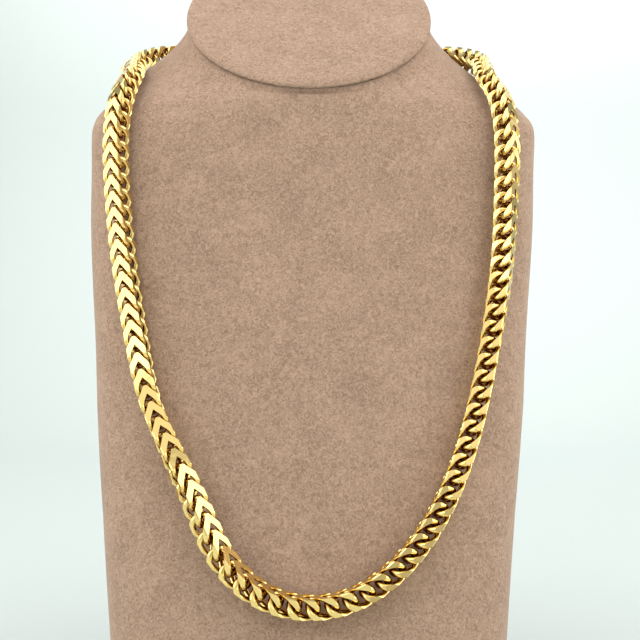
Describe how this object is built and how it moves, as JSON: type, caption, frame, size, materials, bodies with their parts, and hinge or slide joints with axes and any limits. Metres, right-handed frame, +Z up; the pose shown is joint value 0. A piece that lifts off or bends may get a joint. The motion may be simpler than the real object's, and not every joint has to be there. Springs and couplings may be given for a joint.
{
  "type": "franco chain on neck bust",
  "caption": "A square franco chain of polished yellow gold with interlocked chevron links, laid as a closed loop round a suede-covered neck bust with a slanted cap",
  "frame": {"origin": "middle of the bust's flat base, on the table, under the middle of the whole part", "axes": "+Z up, the bust's front and the chain's lowest point face -Y, +X is the wearer's left, which is the right of the picture"},
  "size_m": [0.1984, 0.1596, 0.337],
  "materials": {
    "gold": "polished yellow gold",
    "suede": "soft pinkish taupe microsuede"
  },
  "bodies": {
    "root": {"chain_left": "gold", "chain_right": "gold", "clasp": "gold", "neck_bust": "suede"}
  },
  "joints": []
}
